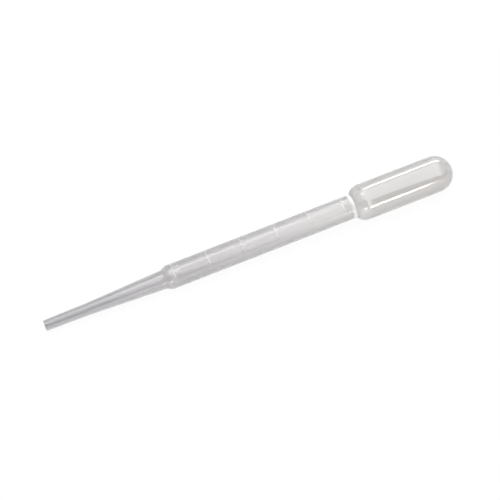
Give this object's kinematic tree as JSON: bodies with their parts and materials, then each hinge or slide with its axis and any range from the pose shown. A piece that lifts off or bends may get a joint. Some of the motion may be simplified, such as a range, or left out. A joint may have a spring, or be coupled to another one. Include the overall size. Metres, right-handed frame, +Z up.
{
  "type": "dropper pipette",
  "caption": "One-piece translucent dropper pipette with a fine open tip, a rounded step, a graduated barrel and a squeeze bulb, lying on its side.",
  "frame": {"origin": "on the ground, below the middle of the lying pipette's box", "axes": "+X runs along the pipette from the mouth towards the bulb, +Z is up, and the graduations are on top; the axis of the tube rises 1.8 degrees towards the bulb"},
  "size_m": [0.15, 0.013, 0.0137],
  "materials": {
    "translucent_plastic": "colourless, translucent low-density polyethylene, satin on the barrel and glossy on the bulb"
  },
  "bodies": {
    "root": {"pipette": "translucent_plastic"}
  },
  "joints": []
}
